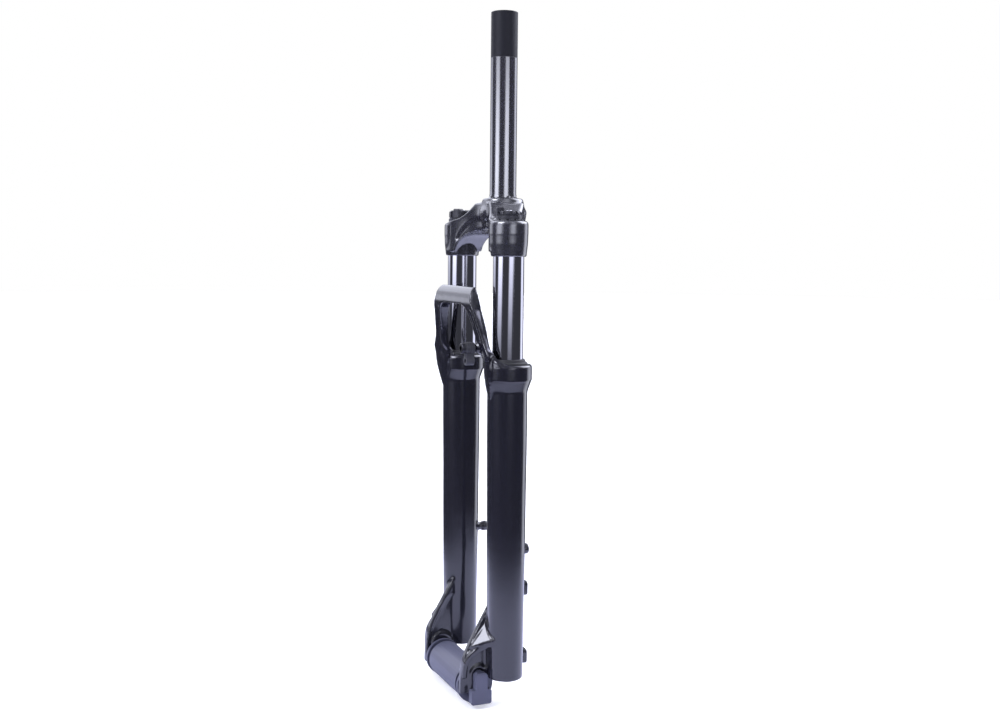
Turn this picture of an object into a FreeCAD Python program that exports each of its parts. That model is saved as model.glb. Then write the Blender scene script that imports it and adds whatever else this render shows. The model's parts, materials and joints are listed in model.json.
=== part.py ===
import FreeCAD, Part
import os
from math import cos, pi, sin, radians

os.makedirs("parts", exist_ok=True)

V = FreeCAD.Vector

# A telescopic bicycle fork, in millimetres. The origin is where the steerer axis meets the crown's
# top face. +Z runs up the steerer, -Y is forward, +X is the rider's left along the hub axis.

# Driving dimensions
STEERER_R = 14.3
STEERER_WALL = 2.4
STEERER_TOP = 196.0
STEERER_FOOT_R = 14.6
RACE_R = 15.0
RACE_H = 4.0
LEG_X = 65.0
LEG_Y = -21.0
STANCHION_R = 16.0
STANCHION_BORE = 14.2
STANCHION_TOP = -28.0
STANCHION_END = -378.0
COLLAR_TOP = -172.0
COLLAR_R = 25.3
LEG_R = 20.9
LEG_BOTTOM = -504.0
FLOOR_Z = -492.0
AXLE_Z = -500.0
AXLE_FORWARD = 27.0
HUB_HALF = 50.0
PLATE_T = 7.5
SLOT_HALF = 4.8
RUN = 0.05

CROWN_H = 33.5
BOSS_R = 22.0
SOCKET_R = 20.0
SOCKET_TOP = -25.5
SOCKET_BOTTOM = -62.0

CASTING_BORE = 17.4
LOWER_BORE = 16.9
WIPER_SEAT_R = 20.6
WIPER_FOOT = -183.0
FOAM_FOOT = -190.0
BUSH_TOPS = (-194.0, -291.0)
BUSH_H = 13.0

ROD_R = 5.0
HEAD_TOP = -353.0
BUMPER_H = 10.0
SPRING_TOP = -130.0
SPRING_R = 10.2
WIRE_R = 2.0
SPRING_TURNS = 20

POST_SPACING = 74.2
POST_Z = -450.4
POST_X = 53.0
POST_FACE_Y = 7.4
MID_BOSS_Z = -370.5

SPACER_R = 19.3
SPACER_DROP = 14.3


def cyl(r, z0, z1, x=0.0, y=0.0):
    return Part.makeCylinder(r, z1 - z0, V(x, y, z0))


def tube(r_out, r_in, z0, z1, x=0.0, y=0.0):
    return cyl(r_out, z0, z1, x, y).cut(cyl(r_in, z0 - 1, z1 + 1, x, y))


def ycyl(r, y0, y1, x, z):
    return Part.makeCylinder(r, y1 - y0, V(x, y0, z), V(0, 1, 0))


def xcyl(r, x0, x1, y, z):
    return Part.makeCylinder(r, x1 - x0, V(x0, y, z), V(1, 0, 0))


def box(x0, x1, y0, y1, z0, z1):
    return Part.makeBox(x1 - x0, y1 - y0, z1 - z0, V(x0, y0, z0))


def turned(points, x=0.0, y=0.0):
    """Solid of revolution about the vertical through x, y; points are (radius, z)."""
    ring = [V(x + r, y, z) for r, z in points]
    wire = Part.makePolygon(ring + ring[:1])
    return Part.Face(wire).revolve(V(x, y, 0), V(0, 0, 1), 360)


def prism(points, place, depth):
    """A polygon given in two coordinates, put in space by place and pushed along depth."""
    ring = [place(a, b) for a, b in points]
    return Part.Face(Part.makePolygon(ring + ring[:1])).extrude(depth)


def mixed_prism(parts, place, depth):
    """Like prism, from a list of stretches; a stretch of three or more points is a smooth curve."""
    edges = []
    for stretch in parts:
        pts = [place(a, b) for a, b in stretch]
        if len(pts) == 2:
            edges.append(Part.makeLine(pts[0], pts[1]))
        else:
            curve = Part.BSplineCurve()
            curve.interpolate(pts)
            edges.append(curve.toShape())
    return Part.Face(Part.Wire(edges)).extrude(depth)


def fused(first, *rest):
    return first.multiFuse(list(rest)).removeSplitter() if rest else first


def mirror_x(shape):
    return shape.mirror(V(0, 0, 0), V(1, 0, 0))


def fwd(f, z, x=0.0):
    """Point f millimetres ahead of the plane of the stanchions."""
    return V(x, LEG_Y - f, z)


def rounded(shape, pick, radius):
    edges = [e for e in shape.Edges if pick(e)]
    return shape.makeFillet(radius, edges)


def at_height(z, tol=0.01):
    def pick(edge):
        bound = edge.BoundBox
        return abs(bound.ZMin - z) < tol and abs(bound.ZMax - z) < tol
    return pick


# ---------------------------------------------------------------- upper unit

def steerer_tube():
    """Straight tube whose foot is a little larger where it is pressed into the crown."""
    bore = STEERER_R - STEERER_WALL
    foot = -CROWN_H + 4
    shape = turned([
        (bore, foot), (STEERER_FOOT_R, foot), (STEERER_FOOT_R, RACE_H), (STEERER_R, RACE_H),
        (STEERER_R, STEERER_TOP), (bore, STEERER_TOP),
    ])
    return rounded(shape, at_height(STEERER_TOP), 0.6)


def crown_front_outline():
    """Front view of the crown: arms fall from the boss to the sockets over an arched belly."""
    top = [(20, -4.5), (26, -8.6), (31, -12.4), (39, -17.8), (47, -21.5), (55, -23.4), (LEG_X, SOCKET_TOP)]
    belly = [(50, -57), (46, -49), (40, -42), (30, -37), (15, -34.2), (0, -CROWN_H)]
    left_top = [(-x, z) for x, z in reversed(top)]
    return [
        [left_top[-1], top[0]],
        top,
        [top[-1], (LEG_X, -57)],
        [(LEG_X, -57), belly[0]],
        belly + [(-x, z) for x, z in reversed(belly[:-1])],
        [(-50, -57), (-LEG_X, -57)],
        [(-LEG_X, -57), left_top[0]],
        left_top,
    ]


def crown_plan_outline(shift=0.0):
    """Top view: a boss round the steerer and arms that sweep forward to the sockets."""
    rear = [(LEG_X, -5), (52, -4), (38, 4), (20, 16), (0, BOSS_R)]
    front = [(0, -BOSS_R), (14, -23.5), (30, -28), (48, -36.5), (LEG_X, LEG_Y - SOCKET_R + 1.0)]
    rear = [(-x, y) for x, y in rear[:-1]] + rear[::-1]
    front = [(x, y + shift) for x, y in front[::-1]] + [(-x, y + shift) for x, y in front[1:]]
    return [rear, [rear[-1], front[0]], front, [front[-1], rear[0]]]


def socket(x):
    return turned([
        (0, SOCKET_BOTTOM), (SOCKET_R - 2.5, SOCKET_BOTTOM), (SOCKET_R - 1.7, SOCKET_BOTTOM + 0.9),
        (SOCKET_R - 0.4, SOCKET_BOTTOM + 13), (SOCKET_R, SOCKET_BOTTOM + 24),
        (SOCKET_R - 0.1, SOCKET_TOP - 2.5), (SOCKET_R - 1.2, SOCKET_TOP - 0.6),
        (SOCKET_R - 2.4, SOCKET_TOP), (0, SOCKET_TOP),
    ], x, LEG_Y)


POCKET_DEPTH = 2.2


def crown_pocket():
    """Shallow relief along the front of one arm, as deep everywhere as the arm's curved face allows."""
    outline = [(5, -23), (16, -21), (25, -22.5), (33, -27), (41, -35), (48, -45), (43, -44), (36, -38.5),
               (25, -35.5), (5, -33.5)]
    block = prism(outline, lambda x, z: V(x, -60, z), V(0, 50, 0))
    return block.cut(mixed_prism(crown_plan_outline(POCKET_DEPTH), lambda x, y: V(x, y, -80), V(0, 0, 100)))


def crown():
    body = mixed_prism(crown_front_outline(), lambda x, z: V(x, -60, z), V(0, 120, 0))
    plan = mixed_prism(crown_plan_outline(), lambda x, y: V(x, y, -80), V(0, 0, 100))
    arms = body.common(plan)
    boss = turned([(0, -CROWN_H), (BOSS_R + 1, -CROWN_H), (BOSS_R + 4, -14), (BOSS_R + 1, -9), (BOSS_R, -4),
                   (BOSS_R, -0.8), (BOSS_R - 0.8, 0), (0, 0)])
    race = cyl(RACE_R, -CROWN_H, RACE_H)
    shape = fused(arms, boss, race, socket(LEG_X), socket(-LEG_X))
    pocket = crown_pocket()
    relief = turned([(0, -60), (19, -60), (15.5, -CROWN_H + 2), (0, -CROWN_H + 2)])
    cuts = [pocket, mirror_x(pocket), relief, cyl(STEERER_FOOT_R, -CROWN_H - 20, RACE_H + 1)]
    for side, room in ((1, PRELOAD_KNOB_R), (-1, LOCKOUT_KNOB_R)):
        cuts.append(cyl(STANCHION_R, SOCKET_BOTTOM - 1, 0, side * LEG_X, LEG_Y))
        cuts.append(cyl(room + 0.8, SOCKET_TOP, 0, side * LEG_X, LEG_Y))
    return shape.cut(Part.makeCompound(cuts))


def stanchion(side):
    shape = tube(STANCHION_R, STANCHION_BORE, STANCHION_END, STANCHION_TOP, side * LEG_X, LEG_Y)
    return rounded(shape, at_height(STANCHION_END), 0.5)


CAP_FLANGE_TOP = SOCKET_TOP + 1.2
CAP_BORE = 5.0


def top_cap(side):
    """Plug in the stanchion's mouth with a thin flange over it and a bore for what turns inside."""
    x = side * LEG_X
    profile = [
        (CAP_BORE, -52), (STANCHION_BORE, -52), (STANCHION_BORE, STANCHION_TOP),
        (STANCHION_R - RUN, STANCHION_TOP), (STANCHION_R - RUN, CAP_FLANGE_TOP - 0.4),
        (STANCHION_R - 0.5, CAP_FLANGE_TOP), (CAP_BORE, CAP_FLANGE_TOP),
    ]
    shape = turned(profile, x, LEG_Y)
    notches = [
        box(-1.2, 1.2, STANCHION_R - 2, STANCHION_R + 2, CAP_FLANGE_TOP - 0.6, CAP_FLANGE_TOP + 1)
        .rotated(V(0, 0, 0), V(0, 0, 1), 30 * i).translated(V(x, LEG_Y, 0))
        for i in range(12)
    ]
    return shape.cut(Part.makeCompound(notches))


KNOB_LOW = CAP_FLANGE_TOP + 0.3
KNOB_SLOTS = 12
KNOB_DISH = 1.2
PRELOAD_KNOB_R = 13.4
PRELOAD_KNOB_TOP = KNOB_LOW + 8.6
LOCKOUT_KNOB_R = 15.3
LOCKOUT_KNOB_TOP = KNOB_LOW + 12.4
KNOB_TOP_MAX = LOCKOUT_KNOB_TOP + 3


def knob_body(x, r, top):
    """Castellated ring: a skirt, a waist, teeth round the edge and a dished top with a screw hole."""
    shape = turned([
        (SCREW_R, KNOB_LOW), (r, KNOB_LOW), (r, KNOB_LOW + 3.0), (r - 0.9, KNOB_LOW + 3.6),
        (r - 0.9, KNOB_LOW + 4.4), (r - 0.3, KNOB_LOW + 5.0), (r - 0.5, top - 1.8), (r - 1.8, top - 0.4),
        (r - 3.2, top), (r - 4.4, top - KNOB_DISH), (SCREW_R, top - KNOB_DISH),
    ], x, LEG_Y)
    slots = []
    for i in range(KNOB_SLOTS):
        turn = 360.0 / KNOB_SLOTS * (i + 0.5)
        slot = box(-1.5, 1.5, r - 2.0, r + 2, KNOB_LOW + 5.2, top + 1)
        slots.append(slot.rotated(V(0, 0, 0), V(0, 0, 1), turn).translated(V(x, LEG_Y, 0)))
    return shape.cut(Part.makeCompound(slots))


def grip_fin(x, r, top, half_width, turn):
    """Raised grip from the knob's edge to just short of its screw."""
    fin = box(-half_width, half_width, -r + 0.4, -4.6, KNOB_LOW + 4.4, top)
    fin = fin.makeFillet(1.4, [e for e in fin.Edges if abs(e.BoundBox.ZMax - top) < 0.01])
    return fin.rotated(V(0, 0, 0), V(0, 0, 1), turn).translated(V(x, LEG_Y, 0))


STEM_R = CAP_BORE - RUN
LEAD_SCREW_END = -69.0
SCREW_R = 2.0


def preload_knob():
    """Knob with its lead screw, which drives the nut under the cap."""
    x = LEG_X
    stem = cyl(STEM_R, LEAD_SCREW_END, KNOB_LOW + 1, x, LEG_Y)
    body = knob_body(x, PRELOAD_KNOB_R, PRELOAD_KNOB_TOP)
    fin = grip_fin(x, PRELOAD_KNOB_R, PRELOAD_KNOB_TOP + 3.8, 6.0, -24)
    return fused(body, fin, stem).cut(cyl(SCREW_R, KNOB_LOW - 7, KNOB_TOP_MAX, x, LEG_Y))


def lockout_knob():
    x = -LEG_X
    body = knob_body(x, LOCKOUT_KNOB_R, LOCKOUT_KNOB_TOP)
    fin = grip_fin(x, LOCKOUT_KNOB_R, LOCKOUT_KNOB_TOP + 1.6, 4.0, 40)
    return fused(body, fin).cut(cyl(SCREW_R, KNOB_LOW - 7, KNOB_TOP_MAX, x, LEG_Y))


def knob_screw(side, top):
    """Small pan-head screw with a cross-shaped recess."""
    x = side * LEG_X
    seat = top - KNOB_DISH
    shape = turned([
        (0, KNOB_LOW - 7), (SCREW_R, KNOB_LOW - 7), (SCREW_R, seat), (3.6, seat), (3.6, seat + 0.9),
        (2.6, seat + 1.9), (0, seat + 2.1),
    ], x, LEG_Y)
    cross = fused(box(-2, 2, -0.5, 0.5, 0, 3), box(-0.5, 0.5, -2, 2, 0, 3))
    return shape.cut(cross.translated(V(x, LEG_Y, seat + 0.9)))


# ---------------------------------------------------------------- spring side (left)

PLUNGER_TOP = -53.0


def preload_plunger():
    """Nut on the knob's lead screw, which drives it down on the spring stack."""
    return tube(STANCHION_BORE - RUN, CAP_BORE, PLUNGER_TOP - 9, PLUNGER_TOP, LEG_X, LEG_Y)


def preload_spacer():
    return tube(12.2, 9.8, SPRING_TOP, PLUNGER_TOP - 9, LEG_X, LEG_Y)


def coil_spring():
    """Round-wire spring with ground flat ends, between the spacer and the rod's head."""
    height = SPRING_TOP - HEAD_TOP
    pitch = (height - 2 * WIRE_R) / SPRING_TURNS
    helix = Part.makeHelix(pitch, height - 2 * WIRE_R, SPRING_R)
    section = Part.Wire(Part.makeCircle(WIRE_R, V(SPRING_R, 0, 0), V(0, 1, 0)))
    coil = Part.Wire(helix).makePipeShell([section], True, True)
    return coil.translated(V(LEG_X, LEG_Y, HEAD_TOP + WIRE_R))


def compression_rod():
    """Tube from the foot bolt up to a wide head that the spring stands on."""
    return turned([
        (3.0, FLOOR_Z), (6.0, FLOOR_Z), (6.0, HEAD_TOP - 8), (STANCHION_BORE - 0.8, HEAD_TOP - 8),
        (STANCHION_BORE - 0.8, HEAD_TOP), (3.0, HEAD_TOP),
    ], LEG_X, LEG_Y)


PLUG_TOP = HEAD_TOP - 8 - BUMPER_H


def foot_plug(side, bore):
    x = side * LEG_X
    shape = tube(STANCHION_BORE, bore, STANCHION_END, PLUG_TOP, x, LEG_Y)
    return shape


def top_out_bumper():
    return tube(11.0, 6.0 + RUN, PLUG_TOP, HEAD_TOP - 8, LEG_X, LEG_Y)


def bottom_out_bumper():
    return tube(13.0, 6.0, FLOOR_Z, FLOOR_Z + 12, LEG_X, LEG_Y)


# ---------------------------------------------------------------- damper side (right)

CARTRIDGE_R = 13.9
CARTRIDGE_BORE = 12.9
CARTRIDGE_END = -268.0
PISTON_TOP = -236.0


def damper_cartridge():
    x = -LEG_X
    shape = tube(CARTRIDGE_R, CARTRIDGE_BORE, CARTRIDGE_END, -52.0, x, LEG_Y)
    return shape


def damper_rod_guide():
    return turned([
        (ROD_R + RUN, CARTRIDGE_END - 4), (CARTRIDGE_R, CARTRIDGE_END - 4), (CARTRIDGE_R, CARTRIDGE_END),
        (CARTRIDGE_BORE, CARTRIDGE_END), (CARTRIDGE_BORE, CARTRIDGE_END + 10),
        (ROD_R + RUN, CARTRIDGE_END + 10),
    ], -LEG_X, LEG_Y)


def lockout_spindle():
    return turned([
        (0, -74), (STEM_R, -74), (STEM_R, KNOB_LOW), (SCREW_R, KNOB_LOW), (SCREW_R, KNOB_LOW - 7),
        (0, KNOB_LOW - 7),
    ], -LEG_X, LEG_Y)


def lockout_valve():
    x = -LEG_X
    shape = tube(CARTRIDGE_BORE - RUN, STEM_R, -74, -66, x, LEG_Y)
    ports = [cyl(1.5, -75, -65, x + 8.4 * cos(a), LEG_Y + 8.4 * sin(a)) for a in (0.0, pi / 2, pi, 1.5 * pi)]
    return shape.cut(Part.makeCompound(ports))


def damper_rod():
    return turned([
        (3.0, FLOOR_Z), (ROD_R, FLOOR_Z), (ROD_R, PISTON_TOP - 10), (3.5, PISTON_TOP - 10),
        (3.5, PISTON_TOP + 6), (1.5, PISTON_TOP + 6), (1.5, FLOOR_Z + 20), (3.0, FLOOR_Z + 20),
    ], -LEG_X, LEG_Y)


def damper_piston():
    x = -LEG_X
    shape = tube(CARTRIDGE_BORE - RUN, 3.5, PISTON_TOP - 10, PISTON_TOP, x, LEG_Y)
    ports = [cyl(1.4, PISTON_TOP - 11, PISTON_TOP + 1, x + 7.5 * cos(a), LEG_Y + 7.5 * sin(a))
             for a in (radians(60 * i) for i in range(6))]
    return shape.cut(Part.makeCompound(ports))


def piston_nut():
    x = -LEG_X
    ring = [(x + 6.0 * cos(radians(60 * i)), LEG_Y + 6.0 * sin(radians(60 * i))) for i in range(6)]
    nut = prism(ring, lambda a, b: V(a, b, PISTON_TOP), V(0, 0, 4.5))
    return nut.cut(cyl(3.5, PISTON_TOP - 1, PISTON_TOP + 6, x, LEG_Y))


# ---------------------------------------------------------------- lower unit

def leg_outside(x):
    return turned([
        (0, LEG_BOTTOM), (18.2, LEG_BOTTOM), (19.0, LEG_BOTTOM + 1.0), (19.3, -450), (20.3, -350),
        (LEG_R, -205), (LEG_R, -200.4), (COLLAR_R - 0.6, -189.4), (COLLAR_R, -188),
        (COLLAR_R, COLLAR_TOP - 2.4),
        (COLLAR_R - 0.8, COLLAR_TOP - 0.8), (COLLAR_R - 2.2, COLLAR_TOP), (0, COLLAR_TOP),
    ], x, LEG_Y)


def leg_inside(x):
    """Bore with the wiper seat on top, a step for each bushing land and the foot bolt's hole."""
    land = BUSH_TOPS[1] - BUSH_H
    return turned([
        (0, LEG_BOTTOM - 1), (8.5, LEG_BOTTOM - 1), (8.5, LEG_BOTTOM + 6), (4.2, LEG_BOTTOM + 6),
        (4.2, FLOOR_Z),
        (LOWER_BORE, FLOOR_Z), (LOWER_BORE, land), (CASTING_BORE, land), (CASTING_BORE, FOAM_FOOT),
        (19.2, FOAM_FOOT), (19.2, WIPER_FOOT), (WIPER_SEAT_R, WIPER_FOOT), (WIPER_SEAT_R, COLLAR_TOP + 1),
        (0, COLLAR_TOP + 1),
    ], x, LEG_Y)


def arch_front_outline():
    """Front view of the arch: a flat-topped bridge and two struts that splay to the collars' fronts."""
    outer = [(46, -93.5), (50, -99), (54, -111), (60, -127), (66, -143), (71, -156), (76, -167),
             (77, -182), (71, -206)]
    inner = [(61, -216), (58, -196), (52, -176), (50.5, -160), (49.5, -146), (46.5, -134), (42.5, -124),
             (37, -117), (29, -112.8), (14, -111.8), (0, -111.8)]
    left_in = [(-x, z) for x, z in reversed(inner)]
    left_out = [(-x, z) for x, z in reversed(outer)]
    return [
        [(-46, -93.5), (46, -93.5)],
        outer,
        [outer[-1], inner[0]],
        inner[:-1] + left_in,
        [left_in[-1], left_out[0]],
        left_out,
    ]


def arch_side_outline():
    """Side view of the arch: its top slopes to the front and its struts lean back to the collars."""
    face = [(31.0, -93.5), (33.0, -95.5), (37.2, -106), (37.6, -112), (36.0, -120), (34.4, -127),
            (31.0, -144), (29.2, -158), (28.0, -168), (26.8, -180), (24.6, -192), (22.0, -205), (19.0, -216)]
    back = [(8.0, -216), (8.0, -182), (18.0, -172), (20.0, -160), (21.6, -144), (23.6, -127), (26.0, -111),
            (28.5, -93.5)]
    return [face, [face[-1], back[0]], back[:2], back[1:], [back[-1], face[0]]]


ROOM_R = SOCKET_R + 0.6


def strut_foot(side):
    """Ramp round the collar's rim that carries the strut's outer face down to the collar."""
    x = side * LEG_X
    outline = [(48, -180), (50, -167), (57, -155), (63, -147), (71, -156), (79, -166.5), (86, -172.5),
               (90, -174.5), (90, -180)]
    ramp = prism(outline, lambda a, z: V(side * a, LEG_Y - 40, z), V(0, 36, 0))
    return ramp.common(cyl(COLLAR_R - 0.3, -190, -130, x, LEG_Y))


def arch():
    front = mixed_prism(arch_front_outline(), lambda x, z: V(x, LEG_Y - 60, z), V(0, 60, 0))
    side = mixed_prism(arch_side_outline(), lambda f, z: fwd(f, z, -80), V(160, 0, 0))
    shape = fused(front.common(side), strut_foot(1), strut_foot(-1))
    for s in (1, -1):
        shape = shape.cut(cyl(ROOM_R, COLLAR_TOP - 1, -90, s * LEG_X, LEG_Y))
    return shape


SLOT_LOW = AXLE_Z - 20.0
LIP_R = 9.9
LIP_T = 1.8


def dropout_plate():
    """Flat plate ahead of the leg, with a curved front edge and a recess in its inner face."""
    front = [(14.2, -427), (24.2, -444), (33.0, -460.5), (40.0, -474.5), (44.4, -487), (46.2, -501),
             (46.8, SLOT_LOW)]
    heel = AXLE_FORWARD - 11.5
    outline = [
        front,
        [front[-1], (AXLE_FORWARD - 10, SLOT_LOW)],
        [(AXLE_FORWARD - 10, SLOT_LOW), (heel, LEG_BOTTOM + 1)],
        [(heel, LEG_BOTTOM + 1), (2, LEG_BOTTOM + 1)],
        [(2, LEG_BOTTOM + 1), (2, -425)],
        [(2, -425), front[0]],
    ]
    plate = mixed_prism(outline, lambda f, z: fwd(f, z, HUB_HALF), V(PLATE_T, 0, 0))
    edge = [(13.0, -445), (20.5, -449), (28.5, -461.5), (36.0, -475.5), (40.4, -488), (42.0, -501),
            (42.6, SLOT_LOW - 1)]
    inner = [edge, [edge[-1], (13.0, SLOT_LOW - 1)], [(13.0, SLOT_LOW - 1), edge[0]]]
    recess = mixed_prism(inner, lambda f, z: fwd(f, z, HUB_HALF - 1), V(3.0, 0, 0))
    y = LEG_Y - AXLE_FORWARD
    pad = fused(xcyl(12.5, HUB_HALF - 2, HUB_HALF + 4, y, AXLE_Z),
                box(HUB_HALF - 2, HUB_HALF + 4, y - 11, y + 9, SLOT_LOW - 2, AXLE_Z))
    return plate.cut(recess.cut(pad))


def dropout_lip():
    """Raised horseshoe round the axle slot on the plate's outer face."""
    y = LEG_Y - AXLE_FORWARD
    end = HUB_HALF + PLATE_T + LIP_T
    return fused(xcyl(LIP_R, HUB_HALF, end, y, AXLE_Z),
                 box(HUB_HALF, end, y - LIP_R, y + LIP_R, SLOT_LOW, AXLE_Z))


def axle_slot():
    y = LEG_Y - AXLE_FORWARD
    start = HUB_HALF - 5
    end = HUB_HALF + 20
    return fused(xcyl(SLOT_HALF, start, end, y, AXLE_Z),
                 box(start, end, y - SLOT_HALF, y + SLOT_HALF, SLOT_LOW - 5, AXLE_Z))


def dropout_roof():
    """Curved gusset that leaves the outside of the leg and sweeps down the plate's front edge."""
    top = [(8.0, -456.5), (15.2, -459.0), (26.5, -466.5), (35.5, -473.0), (42.0, -481.0), (44.8, -490.4),
           (45.4, -502)]
    under = [(41.4, -502), (40.8, -491.5), (38.2, -484), (32.5, -477.5), (24.5, -472), (15.2, -465),
             (8.0, -462.5)]
    band = mixed_prism([top, [top[-1], under[0]], under, [under[-1], top[0]]],
                       lambda f, z: fwd(f, z, HUB_HALF + 2), V(28, 0, 0))
    side = prism([(2, 79), (13, 78), (22, 71), (32, 65.0), (46, 60.5), (60, 59), (60, 90), (2, 90)],
                 lambda f, x: V(x, LEG_Y - f, -540), V(0, 0, 100))
    return band.cut(side)


def dropout_facet():
    """Sloping top face between the plate's edge and the gusset's outer rim."""
    upper = fwd(18.4, -444.0, 59.0)
    outer = fwd(14.2, -458.5, 77.5)
    lower = fwd(37.6, -469.0, HUB_HALF + PLATE_T + 3.0)
    outer_low = fwd(14.2, -464.0, 77.5)
    lower_back = fwd(36.0, -474.5, HUB_HALF + PLATE_T + 3.0)
    heel = fwd(8.0, -470.0, HUB_HALF + PLATE_T - 1)
    front = fwd(35.0, -470.0, HUB_HALF + PLATE_T - 2)
    crest = fwd(14.0, -446.0, HUB_HALF + PLATE_T - 2)
    rings = ((upper, outer, lower), (upper, lower, front), (upper, front, crest),
             (outer, outer_low, lower_back),
             (outer, lower_back, lower), (lower, lower_back, front), (outer_low, heel, lower_back),
             (heel, front, lower_back), (upper, crest, outer), (crest, heel, outer_low),
             (crest, outer_low, outer),
             (crest, front, heel))
    faces = [Part.Face(Part.makePolygon(list(ring) + [ring[0]])) for ring in rings]
    return Part.makeSolid(Part.makeShell(faces))


def dropout():
    return fused(dropout_plate(), dropout_roof(), dropout_facet(), dropout_lip())


def caliper_posts():
    """Two threaded posts for a disc brake caliper behind the left leg."""
    posts = []
    for side in (-0.5, 0.5):
        z = POST_Z + side * POST_SPACING
        post = box(POST_X - 6.5, POST_X + 7.5, LEG_Y, POST_FACE_Y, z - 7.8, z + 7.8)
        long_edges = [e for e in post.Edges if abs(e.BoundBox.YLength - (POST_FACE_Y - LEG_Y)) < 0.01]
        post = post.makeFillet(3.2, long_edges)
        gusset = prism([(0, z - 20), (19, z - 7.8), (19, z + 7.8), (0, z + 20)],
                       lambda y, h: V(POST_X - 3, LEG_Y + y, h), V(8, 0, 0))
        posts += [post, gusset]
    return posts


def post_holes():
    heights = [POST_Z + s * POST_SPACING / 2 for s in (-1, 1)]
    return [ycyl(2.6, POST_FACE_Y - 14, POST_FACE_Y + 1, POST_X, z) for z in heights]


MID_BOSS_X = 57.0
MID_BOSS_TIP = 7.5


def mid_boss(side):
    x = side * MID_BOSS_X
    neck = MID_BOSS_TIP - 5
    return [ycyl(4.4, LEG_Y, neck, x, MID_BOSS_Z), ycyl(5.8, neck - 0.5, MID_BOSS_TIP, x, MID_BOSS_Z)]


GUIDE_X = 53.0
GUIDE_Z = -156.0
GUIDE_SEAT = 33.5
GUIDE_LENGTH = 14.0


def lower_casting():
    leg = leg_outside(LEG_X)
    drop = dropout()
    slot = axle_slot()
    guide_boss = ycyl(5.2, LEG_Y - GUIDE_SEAT, LEG_Y - 26, GUIDE_X, GUIDE_Z)
    pieces = [leg, drop, mirror_x(leg), mirror_x(drop), arch(), guide_boss]
    pieces += caliper_posts() + mid_boss(1) + mid_boss(-1)
    shape = fused(pieces[0], *pieces[1:])
    holes = [leg_inside(LEG_X), leg_inside(-LEG_X), slot, mirror_x(slot)] + post_holes()
    for side in (1, -1):
        holes.append(ycyl(2.1, MID_BOSS_TIP - 11, MID_BOSS_TIP + 1, side * MID_BOSS_X, MID_BOSS_Z))
    holes.append(ycyl(2.0, LEG_Y - GUIDE_SEAT - 1, LEG_Y - 25, GUIDE_X, GUIDE_Z))
    return shape.cut(Part.makeCompound(holes))


def dust_wiper(side):
    inner = STANCHION_R + RUN
    return turned([
        (inner, WIPER_FOOT), (WIPER_SEAT_R, WIPER_FOOT), (WIPER_SEAT_R, COLLAR_TOP),
        (ROOM_R - 0.2, COLLAR_TOP),
        (ROOM_R - 0.2, COLLAR_TOP + 1.2), (19.6, COLLAR_TOP + 2.2), (18.4, COLLAR_TOP + 2.6),
        (17.9, COLLAR_TOP + 4.6),
        (17.2, COLLAR_TOP + 5.2), (inner, COLLAR_TOP + 4.6),
    ], side * LEG_X, LEG_Y)


def foam_ring(side):
    return tube(19.2, STANCHION_R + RUN, FOAM_FOOT, WIPER_FOOT, side * LEG_X, LEG_Y)


def bushing(side, top):
    return tube(CASTING_BORE, STANCHION_R + RUN, top - BUSH_H, top, side * LEG_X, LEG_Y)


def foot_washers():
    low = LEG_BOTTOM + 5
    return Part.makeCompound([tube(8.0, 4.2, low, low + 1, x, LEG_Y) for x in (LEG_X, -LEG_X)])


def foot_bolt(x):
    head_low = LEG_BOTTOM + 0.6
    seat = LEG_BOTTOM + 5
    shape = turned([(0, head_low), (6.0, head_low), (6.5, head_low + 0.6), (6.5, seat), (3.0, seat),
                    (3.0, FLOOR_Z + 18), (0, FLOOR_Z + 18)], x, LEG_Y)
    ring = [(x + 2.9 * cos(radians(60 * i)), LEG_Y + 2.9 * sin(radians(60 * i))) for i in range(6)]
    return shape.cut(prism(ring, lambda a, b: V(a, b, head_low - 1), V(0, 0, 3.8)))


def foot_bolts():
    return Part.makeCompound([foot_bolt(LEG_X), foot_bolt(-LEG_X)])


GUIDE_BACK = LEG_Y - GUIDE_SEAT
GUIDE_FRONT = GUIDE_BACK - GUIDE_LENGTH
HOSE_DROP = 13.0


def hose_guide():
    """Two-lobed plastic clip on the left strut, clamped by one bolt, with a channel for the hose."""
    front = GUIDE_FRONT + 5
    hose_z = GUIDE_Z - HOSE_DROP
    body = ycyl(6.0, GUIDE_FRONT + 4, GUIDE_BACK, GUIDE_X, GUIDE_Z)
    ribs = [ycyl(6.5, front + 2.6 * i, front + 1.4 + 2.6 * i, GUIDE_X, GUIDE_Z) for i in range(3)]
    ear = box(GUIDE_X - 3.5, GUIDE_X + 3.5, front, GUIDE_BACK, hose_z, GUIDE_Z)
    tip = ycyl(4.6, front, GUIDE_BACK, GUIDE_X, hose_z)
    shape = fused(body, ear, tip, *ribs)
    channel = ycyl(2.7, GUIDE_FRONT, GUIDE_BACK + 1, GUIDE_X, hose_z)
    return shape.cut(Part.makeCompound([channel, ycyl(2.0, GUIDE_FRONT, GUIDE_BACK + 1, GUIDE_X, GUIDE_Z)]))


def hose_guide_bolt():
    head = ycyl(5.4, GUIDE_FRONT, GUIDE_FRONT + 4, GUIDE_X, GUIDE_Z)
    head = head.makeFillet(1.0, [e for e in head.Edges if abs(e.BoundBox.YMax - GUIDE_FRONT) < 0.01])
    shank = ycyl(2.0, GUIDE_FRONT + 3, LEG_Y - 26, GUIDE_X, GUIDE_Z)
    ring = [(GUIDE_X + 2.9 * cos(radians(60 * i)), GUIDE_Z + 2.9 * sin(radians(60 * i))) for i in range(6)]
    return fused(head, shank).cut(prism(ring, lambda a, b: V(a, GUIDE_FRONT - 1, b), V(0, 3.6, 0)))


# ---------------------------------------------------------------- shipping axle

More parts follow.
